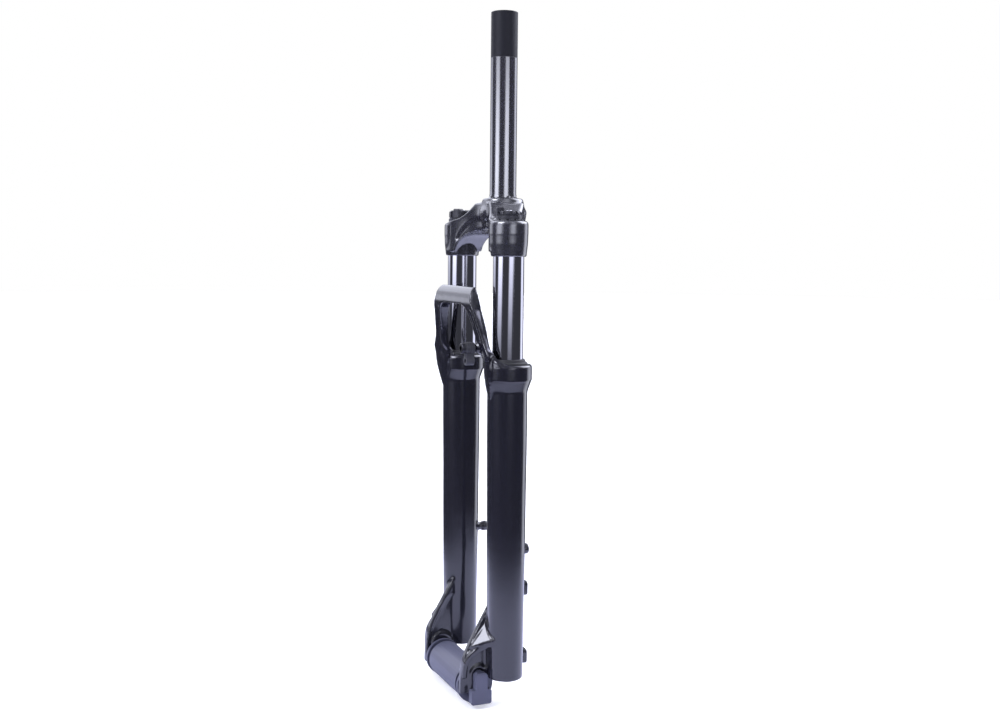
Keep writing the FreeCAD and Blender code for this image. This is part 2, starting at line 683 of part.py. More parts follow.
def axle_spacer():
    """Moulded dummy axle: a bar between the dropouts with a groove and a flange at each end, and end
    blocks outside the plates that hang from tongues in the axle slots."""
    y = LEG_Y - AXLE_FORWARD
    z = AXLE_Z - SPACER_DROP
    inside = HUB_HALF - 1.0
    outside = HUB_HALF + PLATE_T + LIP_T + 0.4
    tongue = SLOT_HALF - 0.25
    low = z - SPACER_R + 3.5
    shape = [xcyl(SPACER_R - 6.0, -inside + 1, inside - 1, y, z),
             xcyl(SPACER_R, -inside + 9, inside - 9, y, z)]
    for side in (1, -1):
        lo, hi = sorted((side * (inside - 4), side * inside))
        flange = xcyl(SPACER_R + 0.7, lo, hi, y, z)
        lo, hi = sorted((side * (inside - 1), side * (outside + 1)))
        key = fused(box(lo, hi, y - tongue, y + tongue, low, AXLE_Z), xcyl(tongue, lo, hi, y, AXLE_Z))
        lo, hi = sorted((side * outside, side * (outside + 8)))
        neck = box(lo, hi, y - 6.8, y + 6.8, AXLE_Z - 18, AXLE_Z + 3.5)
        foot = box(lo, hi, y - 11.3, y + 11.3, low, AXLE_Z - 14.5)
        crest = [e for e in neck.Edges if e.BoundBox.XLength > 7 and e.BoundBox.ZMin > AXLE_Z]
        neck = neck.makeFillet(4.0, crest)
        foot = foot.makeFillet(2.4, [e for e in foot.Edges if e.BoundBox.XLength > 7])
        shape += [flange, key, neck, foot]
    return fused(shape[0], *shape[1:])


NODES = {
    "steerer_tube": steerer_tube(),
    "crown": crown(),
    "stanchion_left": stanchion(1),
    "stanchion_right": stanchion(-1),
    "top_cap_left": top_cap(1),
    "top_cap_right": top_cap(-1),
    "preload_knob": preload_knob(),
    "preload_knob_screw": knob_screw(1, PRELOAD_KNOB_TOP),
    "preload_plunger": preload_plunger(),
    "preload_spacer": preload_spacer(),
    "coil_spring": coil_spring(),
    "compression_rod": compression_rod(),
    "foot_plug_left": foot_plug(1, 6.0 + RUN),
    "top_out_bumper": top_out_bumper(),
    "bottom_out_bumper": bottom_out_bumper(),
    "lockout_knob": lockout_knob(),
    "lockout_knob_screw": knob_screw(-1, LOCKOUT_KNOB_TOP),
    "lockout_spindle": lockout_spindle(),
    "lockout_valve": lockout_valve(),
    "damper_cartridge": damper_cartridge(),
    "damper_rod_guide": damper_rod_guide(),
    "foot_plug_right": foot_plug(-1, ROD_R + RUN),
    "damper_rod": damper_rod(),
    "damper_piston": damper_piston(),
    "piston_nut": piston_nut(),
    "lower_casting": lower_casting(),
    "dust_wiper_left": dust_wiper(1),
    "dust_wiper_right": dust_wiper(-1),
    "foam_ring_left": foam_ring(1),
    "foam_ring_right": foam_ring(-1),
    "upper_bushing_left": bushing(1, BUSH_TOPS[0]),
    "upper_bushing_right": bushing(-1, BUSH_TOPS[0]),
    "lower_bushing_left": bushing(1, BUSH_TOPS[1]),
    "lower_bushing_right": bushing(-1, BUSH_TOPS[1]),
    "foot_bolts": foot_bolts(),
    "foot_washers": foot_washers(),
    "hose_guide": hose_guide(),
    "hose_guide_bolt": hose_guide_bolt(),
    "axle_spacer": axle_spacer(),
}

for name, shape in NODES.items():
    shape.exportStep(os.path.join("parts", name + ".step"))
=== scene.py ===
import json
from math import cos, pi, radians, sin

import bmesh
import bpy
import numpy as np
from mathutils import Matrix, Vector


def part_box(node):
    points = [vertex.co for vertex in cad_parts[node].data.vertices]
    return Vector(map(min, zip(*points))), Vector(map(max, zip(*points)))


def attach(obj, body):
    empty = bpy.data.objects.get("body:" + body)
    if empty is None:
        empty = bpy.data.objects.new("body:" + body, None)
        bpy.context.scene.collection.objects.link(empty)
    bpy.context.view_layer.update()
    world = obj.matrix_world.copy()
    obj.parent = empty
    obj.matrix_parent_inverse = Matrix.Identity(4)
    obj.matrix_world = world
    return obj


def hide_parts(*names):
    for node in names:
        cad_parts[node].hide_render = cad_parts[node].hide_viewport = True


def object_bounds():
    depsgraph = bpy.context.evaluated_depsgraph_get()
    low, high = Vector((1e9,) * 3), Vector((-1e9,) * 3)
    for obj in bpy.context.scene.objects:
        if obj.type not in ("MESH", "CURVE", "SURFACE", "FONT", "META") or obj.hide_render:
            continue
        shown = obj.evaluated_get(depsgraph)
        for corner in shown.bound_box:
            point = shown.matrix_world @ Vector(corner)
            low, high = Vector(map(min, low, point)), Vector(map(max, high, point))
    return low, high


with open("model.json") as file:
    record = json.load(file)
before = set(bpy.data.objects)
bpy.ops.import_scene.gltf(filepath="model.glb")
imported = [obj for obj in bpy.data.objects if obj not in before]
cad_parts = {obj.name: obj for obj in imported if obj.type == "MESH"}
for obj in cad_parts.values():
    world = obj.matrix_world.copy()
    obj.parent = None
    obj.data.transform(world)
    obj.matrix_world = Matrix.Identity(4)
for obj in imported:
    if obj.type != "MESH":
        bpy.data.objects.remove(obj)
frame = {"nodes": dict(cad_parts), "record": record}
CAD_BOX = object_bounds()
NODES = frame["nodes"]
MM = 0.001

# Camera: a slightly long lens a little over a metre from the fork, to its left front
VIEW_AZIMUTH = radians(66.7)
VIEW_PITCH = radians(5.18)
VIEW_ROLL = radians(0.54)
VIEW_DISTANCE = 1.292
VIEW_HEIGHT = -0.05495
VIEW_SIDE = 0.0178
LENS_MM = 43.16
SENSOR_MM = 36.0
FAR_CLIP = 50.0


# ------------------------------------------------------------------ shader helpers

class Shader:
    """Short way to build a node tree: n() adds a node, wires or sets its inputs, and returns an output."""

    def __init__(self, owner):
        owner.use_nodes = True
        self.tree = owner.node_tree
        self.tree.nodes.clear()

    def n(self, kind, out=0, **settings):
        node = self.tree.nodes.new(kind)
        inputs = settings.pop("inputs", {})
        for key, value in settings.items():
            setattr(node, key, value)
        for key, value in inputs.items():
            socket = node.inputs[key]
            if isinstance(value, bpy.types.NodeSocket):
                self.tree.links.new(value, socket)
            else:
                socket.default_value = value
        return node.outputs[out] if node.outputs else node

    def math(self, op, a, b=0.0):
        return self.n("ShaderNodeMath", operation=op, inputs={0: a, 1: b})

    def times(self, first, *others):
        for other in others:
            first = self.math("MULTIPLY", first, other)
        return first

    def plus(self, a, b):
        return self.math("ADD", a, b)

    def larger(self, a, b):
        return self.math("MAXIMUM", a, b)

    def dot(self, a, b):
        return self.n("ShaderNodeVectorMath", 1, operation="DOT_PRODUCT", inputs={0: a, 1: b})

    def length(self, a):
        return self.n("ShaderNodeVectorMath", 1, operation="LENGTH", inputs={0: a})

    def mix(self, share, a, b):
        return self.n("ShaderNodeMix", 2, data_type="RGBA", inputs={0: share, 6: a, 7: b})

    def mix_value(self, share, a, b):
        return self.n("ShaderNodeMix", 0, data_type="FLOAT", inputs={0: share, 2: a, 3: b})

    def ramp(self, value, low, high):
        """0 at low and beyond, 1 at high and beyond, smooth between; high may be the smaller value."""
        return self.n("ShaderNodeMapRange", interpolation_type="SMOOTHSTEP",
                      inputs={0: value, 1: low, 2: high, 3: 0.0, 4: 1.0})

    def band(self, value, low, high, soft):
        """1 from low to high and 0 outside, with soft edges."""
        rise = self.ramp(value, low - soft, low + soft)
        fall = self.ramp(value, high + soft, high - soft)
        return self.times(rise, fall)

    def noise(self, coords, scale, detail=3.0, rough=0.55):
        inputs = {"Vector": coords, "Scale": scale, "Detail": detail, "Roughness": rough}
        return self.n("ShaderNodeTexNoise", inputs=inputs)


def rgb(r, g, b):
    return (r, g, b, 1.0)


def place_coords(sh):
    """Coordinates in metres in the part's frame: every mesh is placed by its vertices."""
    return sh.n("ShaderNodeTexCoord", 3)


def stretched(sh, coords, scale):
    return sh.n("ShaderNodeMapping", inputs={"Vector": coords, "Scale": scale})


def finish_material(sh, **inputs):
    bsdf = sh.n("ShaderNodeBsdfPrincipled", inputs=inputs)
    sh.n("ShaderNodeOutputMaterial", inputs={"Surface": bsdf})


def bump(sh, height, distance, strength):
    return sh.n("ShaderNodeBump", inputs={"Height": height, "Distance": distance, "Strength": strength})


def edge_mask(sh, low, high):
    """1 on sharp outward edges, from the mesh's pointiness."""
    return sh.ramp(sh.n("ShaderNodeNewGeometry", "Pointiness"), low, high)


# ------------------------------------------------------------------ materials

def gloss_black_paint():
    m = bpy.data.materials.new("gloss_black_paint")
    sh = Shader(m)
    at = place_coords(sh)
    peel = sh.noise(at, 420.0, 2.0)
    drift = sh.noise(at, 18.0, 3.0)
    dust = sh.ramp(sh.noise(at, 900.0, 4.0, 0.7), 0.66, 0.74)
    wear = edge_mask(sh, 0.53, 0.60)
    color = sh.mix(sh.times(dust, 0.25), rgb(0.009, 0.009, 0.014), rgb(0.06, 0.06, 0.075))
    color = sh.mix(sh.times(wear, 0.35), color, rgb(0.05, 0.05, 0.062))
    rough = sh.mix_value(drift, 0.13, 0.24)
    rough = sh.plus(rough, sh.times(dust, 0.15))
    normal = bump(sh, peel, 0.04 * MM, 0.35)
    finish_material(sh, **{"Base Color": color, "Roughness": rough, "IOR": 1.55, "Normal": normal,
                           "Coat Weight": 0.5, "Coat Roughness": 0.06, "Coat IOR": 1.5})
    return m


def satin_black_paint():
    m = bpy.data.materials.new("satin_black_paint")
    sh = Shader(m)
    at = place_coords(sh)
    grain = sh.noise(at, 2600.0, 2.0, 0.6)
    drift = sh.noise(at, 30.0, 3.0)
    wear = edge_mask(sh, 0.52, 0.60)
    color = sh.mix(sh.ramp(drift, 0.35, 0.7), rgb(0.012, 0.012, 0.018), rgb(0.019, 0.019, 0.027))
    color = sh.mix(sh.times(wear, 0.4), color, rgb(0.07, 0.07, 0.085))
    rough = sh.mix_value(drift, 0.19, 0.25)
    normal = bump(sh, grain, 0.01 * MM, 0.3)
    finish_material(sh, **{"Base Color": color, "Roughness": rough, "IOR": 1.8, "Specular IOR Level": 1.0,
                           "Normal": normal})
    return m


MATTE_TOP = 148 * MM
MATTE_EDGE = 0.6 * MM
MATTE_WOBBLE = 1.2 * MM


def steerer_paint():
    """Glossy black tube whose top end is left matt, with fine lengthwise rub marks."""
    m = bpy.data.materials.new("steerer_paint")
    sh = Shader(m)
    at = place_coords(sh)
    z = sh.n("ShaderNodeSeparateXYZ", 2, inputs={0: at})
    wobble = sh.times(sh.math("SUBTRACT", sh.noise(at, 60.0), 0.5), MATTE_WOBBLE)
    matte = sh.ramp(sh.plus(z, wobble), MATTE_TOP - MATTE_EDGE, MATTE_TOP + MATTE_EDGE)
    rubs = sh.noise(stretched(sh, at, (900.0, 900.0, 12.0)), 1.0, 3.0, 0.6)
    drift = sh.noise(at, 35.0, 3.0)
    rough = sh.plus(sh.mix_value(drift, 0.12, 0.2), sh.times(sh.ramp(rubs, 0.55, 0.8), 0.12))
    rough = sh.mix_value(matte, rough, 0.52)
    color = sh.mix(matte, rgb(0.014, 0.013, 0.021), rgb(0.009, 0.009, 0.013))
    color = sh.mix(sh.times(edge_mask(sh, 0.54, 0.64), 0.5), color, rgb(0.2, 0.2, 0.22))
    normal = bump(sh, rubs, 0.02 * MM, 0.25)
    level = sh.mix_value(matte, 1.0, 0.1)
    finish_material(sh, **{"Base Color": color, "Roughness": rough, "IOR": 2.1, "Specular IOR Level": level,
                           "Normal": normal})
    return m


def chrome():
    m = bpy.data.materials.new("polished_chrome")
    sh = Shader(m)
    at = place_coords(sh)
    lines = sh.noise(stretched(sh, at, (30.0, 30.0, 2600.0)), 1.0, 2.0, 0.5)
    smear = sh.noise(stretched(sh, at, (120.0, 120.0, 25.0)), 1.0, 3.0)
    pits = sh.ramp(sh.noise(at, 1300.0, 2.0), 0.7, 0.76)
    rough = sh.mix_value(smear, 0.045, 0.12)
    color = sh.mix(sh.times(pits, 0.3), rgb(0.44, 0.44, 0.49), rgb(0.25, 0.24, 0.26))
    normal = bump(sh, lines, 0.006 * MM, 0.3)
    finish_material(sh, **{"Base Color": color, "Metallic": 1.0, "Roughness": rough, "Normal": normal})
    return m


def moulded_plastic(name, dark, light, rough_range, grain=1800.0):
    m = bpy.data.materials.new(name)
    sh = Shader(m)
    at = place_coords(sh)
    fine = sh.noise(at, grain, 3.0, 0.6)
    drift = sh.noise(at, 55.0, 4.0)
    scuff = sh.ramp(sh.noise(stretched(sh, at, (140.0, 420.0, 260.0)), 1.0, 5.0, 0.65), 0.60, 0.72)
    wear = edge_mask(sh, 0.52, 0.60)
    color = sh.mix(drift, dark, light)
    pale = rgb(*[min(1.0, 1.8 * c + 0.02) for c in light[:3]])
    color = sh.mix(sh.times(sh.larger(scuff, wear), 0.25), color, pale)
    rough = sh.mix_value(drift, *rough_range)
    normal = bump(sh, fine, 0.06 * MM, 0.45)
    finish_material(sh, **{"Base Color": color, "Roughness": rough, "IOR": 1.5, "Normal": normal})
    return m


def seal_rubber():
    m = bpy.data.materials.new("seal_rubber")
    sh = Shader(m)
    at = place_coords(sh)
    fine = sh.noise(at, 2200.0, 3.0, 0.6)
    oil = sh.ramp(sh.noise(at, 90.0, 3.0), 0.5, 0.65)
    color = sh.mix(oil, rgb(0.02, 0.02, 0.022), rgb(0.012, 0.012, 0.014))
    rough = sh.mix_value(oil, 0.62, 0.34)
    normal = bump(sh, fine, 0.05 * MM, 0.5)
    finish_material(sh, **{"Base Color": color, "Roughness": rough, "IOR": 1.5, "Normal": normal})
    return m


def turned_metal(name, color, rough):
    """Machined metal: fine rings from turning, with a soft cloudiness."""
    m = bpy.data.materials.new(name)
    sh = Shader(m)
    at = place_coords(sh)
    rings = sh.noise(stretched(sh, at, (40.0, 40.0, 1200.0)), 1.0, 2.0)
    cloud = sh.noise(at, 150.0, 3.0)
    tint = sh.mix(cloud, rgb(*[0.8 * c for c in color]), rgb(*color))
    roughness = sh.mix_value(cloud, rough * 0.8, rough * 1.3)
    normal = bump(sh, rings, 0.01 * MM, 0.4)
    finish_material(sh, **{"Base Color": tint, "Metallic": 1.0, "Roughness": roughness, "Normal": normal})
    return m


# ------------------------------------------------------------------ geometry

TINY = 0.001 * MM


def copy_of(node, name):
    source = NODES[node]
    mesh = source.data.copy()
    mesh.materials.clear()
    piece = bpy.data.objects.new(name, mesh)
    bpy.context.scene.collection.objects.link(piece)
    return piece


def apply_modifiers(piece):
    graph = bpy.context.evaluated_depsgraph_get()
    mesh = bpy.data.meshes.new_from_object(piece.evaluated_get(graph))
    piece.modifiers.clear()
    piece.data = mesh
    return piece


def weld(piece):
    """Joins the points that faces share, and turns all faces outward."""
    bm = bmesh.new()
    bm.from_mesh(piece.data)
    bmesh.ops.remove_doubles(bm, verts=bm.verts, dist=TINY)
    bmesh.ops.recalc_face_normals(bm, faces=bm.faces)
    bm.to_mesh(piece.data)
    bm.free()
    piece.data.update()


def remeshed(node, name, voxel):
    """A copy of the node as one even mesh, whose edges can then be blended."""
    piece = copy_of(node, name)
    weld(piece)
    remesh = piece.modifiers.new("remesh", "REMESH")
    remesh.mode = "VOXEL"
    remesh.voxel_size = voxel
    apply_modifiers(piece)
    piece.data.polygons.foreach_set("use_smooth", [True] * len(piece.data.polygons))
    return piece


def points_of(piece):
    flat = np.empty(len(piece.data.vertices) * 3)
    piece.data.vertices.foreach_get("co", flat)
    return flat.reshape(-1, 3)


def edges_of(piece):
    flat = np.empty(len(piece.data.edges) * 2, dtype=np.int64)
    piece.data.edges.foreach_get("vertices", flat)
    return flat.reshape(-1, 2)


def set_points(piece, points):
    piece.data.vertices.foreach_set("co", points.ravel())
    piece.data.update()


def relaxed(points, edges, share, rounds):
    """Each round moves every point by its share of the way to the middle of its neighbours."""
    a, b = edges.T
    size = len(points)
    near_count = np.bincount(a, minlength=size) + np.bincount(b, minlength=size)
    for _ in range(rounds):
        total = np.empty_like(points)
        for axis in range(3):
            total[:, axis] = np.bincount(a, points[b, axis], size) + np.bincount(b, points[a, axis], size)
        points = points + share[:, None] * (total / near_count[:, None] - points)
    return points


def rise(value, low, high):
    """0 at low and beyond, 1 at high and beyond, smooth between, for arrays; high may be the smaller."""
    t = np.clip((value - low) / (high - low), 0, 1)
    return t * t * (3 - 2 * t)


def inside(value, low, high, soft):
    """1 from low to high, falling to 0 over the soft stretch on either side."""
    return rise(value, low - soft, low) * (1 - rise(value, high, high + soft))


WALL_FADE = 2 * MM
WALL_SURE = 0.4


def rounded_to(points, side, radius, low, high, reach):
    """Points within reach of the round wall of one leg are brought back onto it, between two heights."""
    out = points.copy()
    axis = np.array((side, LEG_Y))
    offset = out[:, :2] - axis
    distance = np.linalg.norm(offset, axis=1)
    miss = distance - radius
    held = (1 - rise(np.abs(miss), WALL_SURE * reach, reach)) * inside(out[:, 2], low, high, WALL_FADE)
    wanted = distance - miss * held
    out[:, :2] = axis + offset * (wanted / np.maximum(distance, TINY))[:, None]
    return out


LEG_X = (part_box("stanchion_left")[0].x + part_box("stanchion_left")[1].x) / 2
LEG_Y = (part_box("stanchion_left")[0].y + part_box("stanchion_left")[1].y) / 2

# Round walls of the casting and the crown, which stay round while their neighbours are blended
LEG_RADIUS = 20.9 * MM
LEG_LOW = -500.0 * MM
LEG_HIGH = -203.0 * MM
COLLAR_RADIUS = 25.3 * MM
COLLAR_LOW = -187.4 * MM
COLLAR_HIGH = -175.0 * MM
SOCKET_RADIUS = 20.0 * MM
SOCKET_LOW = -38.5 * MM
SOCKET_HIGH = -30.0 * MM

# Blending: the size of the even mesh, and how many rounds of smoothing everything and the roots get
CASTING_VOXEL = 0.9 * MM
CASTING_ROOT_ROUNDS = 16
CASTING_REACH = 0.5 * MM
CROWN_VOXEL = 0.7 * MM
CROWN_ARM_ROUNDS = 30
CROWN_REACH = 0.3 * MM
CROWN_ARM_START = (21.5 * MM, 26 * MM)
ALL_ROUNDS = 4
STEP = 0.5

# Where the casting's arch and dropout plates grow out of the legs, by height and by depth ahead of the
# leg's axis; two values are where a blend begins and where it is full, a third is a soft stretch
ARCH_ROOT = (-212 * MM, -150 * MM, 12 * MM)
ARCH_ROOT_FRONT = (8 * MM, 16 * MM)
PLATE_ROOT = (-500 * MM, -420 * MM, 12 * MM)
PLATE_ROOT_FRONT = (10 * MM, 26 * MM, 6 * MM)

# Each arch strut, at some heights: where its inner side and its front ridge are, across the fork
STRUT_HEIGHTS = np.array([-216, -196, -176, -160, -146, -134, -124, -117, -112]) * MM
STRUT_INNER = np.array([61, 58, 52, 50.5, 49.5, 46.5, 42.5, 37, 29]) * MM
STRUT_RIDGE = np.array([66, 63, 66, 70, 66.5, 62, 58.5, 56.5, 55]) * MM

# Long groove in the front of each strut
GROOVE_DEPTH = 1.5 * MM
GROOVE_TOP = -121 * MM
GROOVE_FOOT = -166 * MM
GROOVE_FADE = 6 * MM
GROOVE_SIDES = (0.36, 0.60, 0.18)
GROOVE_FRONT = (21 * MM, 25 * MM)

# Wedge-shaped rib below the groove
RIB_START = (-158 * MM, -172 * MM)
RIB_END = (-218 * MM, -212 * MM)
RIB_FRONT = (20.5 * MM, 22.5 * MM)
RIB_SLOPE = 0.45
RIB_DEPTH = 5 * MM

# Twist of the struts' outer flanks: its slope and the line it turns about, at some heights
TWIST_HEIGHTS = np.array([-172, -160, -153, -141, -128, -110]) * MM
TWIST = np.array([0.9, 0.9, 0.62, 0.44, 0.34, 0.3])
TWIST_MIDDLE = np.array([22, 23, 24.8, 28.9, 30.6, 32]) * MM
TWIST_LEVER = (-4 * MM, 6 * MM)
TWIST_FOOT = -163 * MM
TWIST_TOP = -118 * MM
TWIST_FADE = 8 * MM
TWIST_FRONT = (18 * MM, 21 * MM)
TWIST_OUTER = (0.6, 1.0)


def strut_lines(points):
    """For each point: its distance across, and the strut's ridge and share of the strut's width there."""
    across = np.abs(points[:, 0])
    inner = np.interp(points[:, 2], STRUT_HEIGHTS, STRUT_INNER)
    ridge = np.interp(points[:, 2], STRUT_HEIGHTS, STRUT_RIDGE)
    return across, ridge, (across - inner) / (ridge - inner)


def flank_twist(points, ahead):
    """How far the struts' outer flanks go outboard in front and inboard at the back."""
    height = points[:, 2]
    share = strut_lines(points)[2]
    slope = np.interp(height, TWIST_HEIGHTS, TWIST)
    lever = np.clip(ahead - np.interp(height, TWIST_HEIGHTS, TWIST_MIDDLE), *TWIST_LEVER)
    place = inside(height, TWIST_FOOT, TWIST_TOP, TWIST_FADE) * rise(ahead, *TWIST_FRONT)
    return np.sign(points[:, 0]) * slope * lever * rise(share, *TWIST_OUTER) * place


def arch_relief(points, ahead):
    """How far the struts' front faces are set back: a long groove above, a wedge-shaped rib below."""
    height = points[:, 2]
    across, ridge, share = strut_lines(points)
    groove = inside(share, *GROOVE_SIDES) * inside(height, GROOVE_FOOT, GROOVE_TOP, GROOVE_FADE)
    groove = GROOVE_DEPTH * groove * rise(ahead, *GROOVE_FRONT)
    rib = RIB_SLOPE * np.clip(ridge - across, 0, None) * rise(height, *RIB_START)
    rib = rib * rise(ahead, *RIB_FRONT) * rise(height, *RIB_END)
    return groove + np.minimum(rib, RIB_DEPTH)


def casting():
    """The lower legs, with the arch and dropouts blended in as a casting is."""
    piece = remeshed("lower_casting", "casting_blended", CASTING_VOXEL)
    points = points_of(piece)
    edges = edges_of(piece)
    ahead = LEG_Y - points[:, 1]
    height = points[:, 2]
    points = relaxed(points, edges, np.full(len(points), STEP), ALL_ROUNDS)
    points[:, 0] += flank_twist(points, ahead)
    points[:, 1] += arch_relief(points, ahead)
    arch_root = inside(height, *ARCH_ROOT) * rise(ahead, *ARCH_ROOT_FRONT)
    plate_root = inside(height, *PLATE_ROOT) * inside(ahead, *PLATE_ROOT_FRONT)
    points = relaxed(points, edges, STEP * np.maximum(arch_root, plate_root), CASTING_ROOT_ROUNDS)
    for side in (-LEG_X, LEG_X):
        points = rounded_to(points, side, LEG_RADIUS, LEG_LOW, LEG_HIGH, CASTING_REACH)
        points = rounded_to(points, side, COLLAR_RADIUS, COLLAR_LOW, COLLAR_HIGH, CASTING_REACH)
    set_points(piece, points)
    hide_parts("lower_casting")
    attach(piece, "lowers")
    return piece


def forged_crown():
    """The crown, with its arms, pockets and sockets blended as a forging is."""
    piece = remeshed("crown", "crown_blended", CROWN_VOXEL)
    points = points_of(piece)
    edges = edges_of(piece)
    points = relaxed(points, edges, np.full(len(points), STEP), ALL_ROUNDS)
    from_leg = np.hypot(np.abs(points[:, 0]) - LEG_X, points[:, 1] - LEG_Y)
    arms = rise(from_leg, *CROWN_ARM_START)
    points = relaxed(points, edges, STEP * arms, CROWN_ARM_ROUNDS)
    for side in (-LEG_X, LEG_X):
        points = rounded_to(points, side, SOCKET_RADIUS, SOCKET_LOW, SOCKET_HIGH, CROWN_REACH)
    set_points(piece, points)
    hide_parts("crown")
    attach(piece, "upper")
    return piece


def smooth_faces(node):
    """Smooth shading over round faces; the CAD's own normals keep its edges crisp."""
    mesh = NODES[node].data
    mesh.polygons.foreach_set("use_smooth", [True] * len(mesh.polygons))
    mesh.update()


def paint(obj, material):
    obj.data.materials.clear()
    obj.data.materials.append(material)


# ------------------------------------------------------------------ stage

DEG = pi / 180

# The studio, by turn (0 points back at the camera, 180 away from it) and height over the horizon.
# A pair of angles is where a light begins and where it is full. Three are a band's two edges and how
# soft they are. A pair of plain numbers is the light at the two ends of such a stretch.

# Upright strips beside the camera
LEFT_STRIP = (-79 * DEG, -45 * DEG, 5 * DEG)
RIGHT_STRIP = (6 * DEG, 35 * DEG, 5 * DEG)
RIGHT_RISE = (2 * DEG, 8 * DEG)
RIGHT_SHARE = (0.8, 1.0)
STRIP_FOOT = (-7 * DEG, 5 * DEG)
STRIP_TOP = (11 * DEG, 4 * DEG)
STRIP_ABOVE = (0.0, 6 * DEG)
ABOVE_SHARE = 0.2
LEAN_LOW = -4 * DEG
LEAN_HIGH = 5 * DEG
STRIP_LEAN = 1.8
STRIP_LEVEL = 4.6

# Backdrop behind the fork
BACK_RIGHT = (108 * DEG, 140 * DEG, 5 * DEG)
BACK_LEFT = (-107 * DEG, -119 * DEG)
BACK_LEVEL = 2.0
MIDDLE_FOOT = (-3.5 * DEG, -1 * DEG)
MIDDLE_TURN = (-153 * DEG, -146 * DEG)
MIDDLE_SHARE = 0.55
FRONT_FOOT = (-2 * DEG, 0.0)
FRONT_TOP = (9 * DEG, 5 * DEG)
FRONT_TURN = (-149 * DEG, -143 * DEG)
FRONT_SHARE = 0.8
TOP_FOOT = (8 * DEG, 14 * DEG)
RIM_TURN = (-150 * DEG, -160 * DEG)
RIM_TOP = (-6 * DEG, -8 * DEG)
RAISED_FOOT = (13 * DEG, 20 * DEG)
RAISED_TOP = (62 * DEG, 50 * DEG)
RAISED_TURN = (84 * DEG, 150 * DEG, 8 * DEG)
RAISED_SHARE = 2.0

# Softbox
KEY_HEIGHT = 38.5 * DEG
KEY_TURN = -58.0 * DEG
KEY_INNER = 12.0 * DEG
KEY_OUTER = 18.0 * DEG
KEY_LEVEL = 11.0

# Room
ROOM_HORIZON = (-8 * DEG, 6 * DEG)
ROOM_LEVELS = (0.08, 0.10)
CEILING_FOOT = (12 * DEG, 40 * DEG)
CEILING_TOP = (64 * DEG, 48 * DEG)
CEILING_LEVEL = 0.5


def strips_light(sh, turn, high):
    """Two upright strips beside the camera, bright level with the fork and dim above it."""
    held = sh.math("MINIMUM", sh.larger(high, LEAN_LOW), LEAN_HIGH)
    upright = sh.math("SUBTRACT", turn, sh.times(held, STRIP_LEAN))
    left = sh.band(upright, *LEFT_STRIP)
    right = sh.times(sh.band(upright, *RIGHT_STRIP), sh.mix_value(sh.ramp(high, *RIGHT_RISE), *RIGHT_SHARE))
    level = sh.times(sh.ramp(high, *STRIP_FOOT), sh.ramp(high, *STRIP_TOP))
    above = sh.times(sh.ramp(high, *STRIP_ABOVE), ABOVE_SHARE)
    return sh.times(sh.larger(left, right), sh.larger(level, above))


def backdrop_light(sh, turn, high):
    """White backdrop behind the fork: one band on the right, and on the left panels at several heights."""
    right = sh.band(turn, *BACK_RIGHT)
    left = sh.ramp(turn, *BACK_LEFT)
    middle = sh.times(sh.ramp(high, *MIDDLE_FOOT), sh.ramp(turn, *MIDDLE_TURN), MIDDLE_SHARE)
    front = sh.times(sh.ramp(high, *FRONT_FOOT), sh.ramp(high, *FRONT_TOP))
    front = sh.times(front, sh.ramp(turn, *FRONT_TURN), FRONT_SHARE)
    rim = sh.times(sh.ramp(turn, *RIM_TURN), sh.ramp(high, *RIM_TOP))
    left_share = sh.larger(sh.larger(sh.larger(middle, front), sh.ramp(high, *TOP_FOOT)), rim)
    raised = sh.times(sh.ramp(high, *RAISED_FOOT), sh.ramp(high, *RAISED_TOP))
    raised = sh.times(raised, sh.band(turn, *RAISED_TURN), RAISED_SHARE)
    return sh.plus(sh.plus(right, sh.times(left, left_share)), raised)


def softbox_light(sh, faced):
    """A small softbox high on the left."""
    level_share = cos(KEY_HEIGHT)
    toward = (sin(KEY_TURN) * level_share, -cos(KEY_TURN) * level_share, sin(KEY_HEIGHT))
    return sh.ramp(sh.dot(faced, toward), cos(KEY_OUTER), cos(KEY_INNER))


def room_light(sh, high):
    """The dark room, a little lighter above the horizon, with a pale ring under the ceiling."""
    walls = sh.mix_value(sh.ramp(high, *ROOM_HORIZON), *ROOM_LEVELS)
    ceiling = sh.times(sh.ramp(high, *CEILING_FOOT), sh.ramp(high, *CEILING_TOP), CEILING_LEVEL)
    return sh.plus(walls, ceiling)


def world_light():
    """The studio as reflections see it; the camera itself sees plain white."""
    world = bpy.data.worlds.new("studio")
    bpy.context.scene.world = world
    sh = Shader(world)
    ray = sh.n("ShaderNodeTexCoord", 0)
    inputs = {"Vector": ray, "Angle": -VIEW_AZIMUTH}
    faced = sh.n("ShaderNodeVectorRotate", rotation_type="Z_AXIS", inputs=inputs)
    x, y, z = sh.n("ShaderNodeSeparateXYZ", inputs={0: faced}).node.outputs
    turn = sh.math("ARCTAN2", x, sh.times(y, -1.0))
    high = sh.math("ARCSINE", z)
    level = sh.plus(room_light(sh, high), sh.times(strips_light(sh, turn, high), STRIP_LEVEL))
    level = sh.plus(level, sh.times(backdrop_light(sh, turn, high), BACK_LEVEL))
    level = sh.plus(level, sh.times(softbox_light(sh, faced), KEY_LEVEL))
    seen = sh.n("ShaderNodeLightPath", 0)
    tint = sh.mix(seen, rgb(0.84, 0.86, 1.0), rgb(1, 1, 1))
    strength = sh.mix_value(seen, level, 1.0)
    background = sh.n("ShaderNodeBackground", inputs={"Color": tint, "Strength": strength})
    sh.n("ShaderNodeOutputWorld", inputs={"Surface": background})


LAMP_SIZE = 0.9
LAMP_RADIANCE = 4.5
LAMP_COLOR = (0.93, 0.94, 1.0)
LAMP_PLACE = Vector((0.05, 0.40, 1.25))
LAMP_TARGET = Vector((0, 0, -0.1))


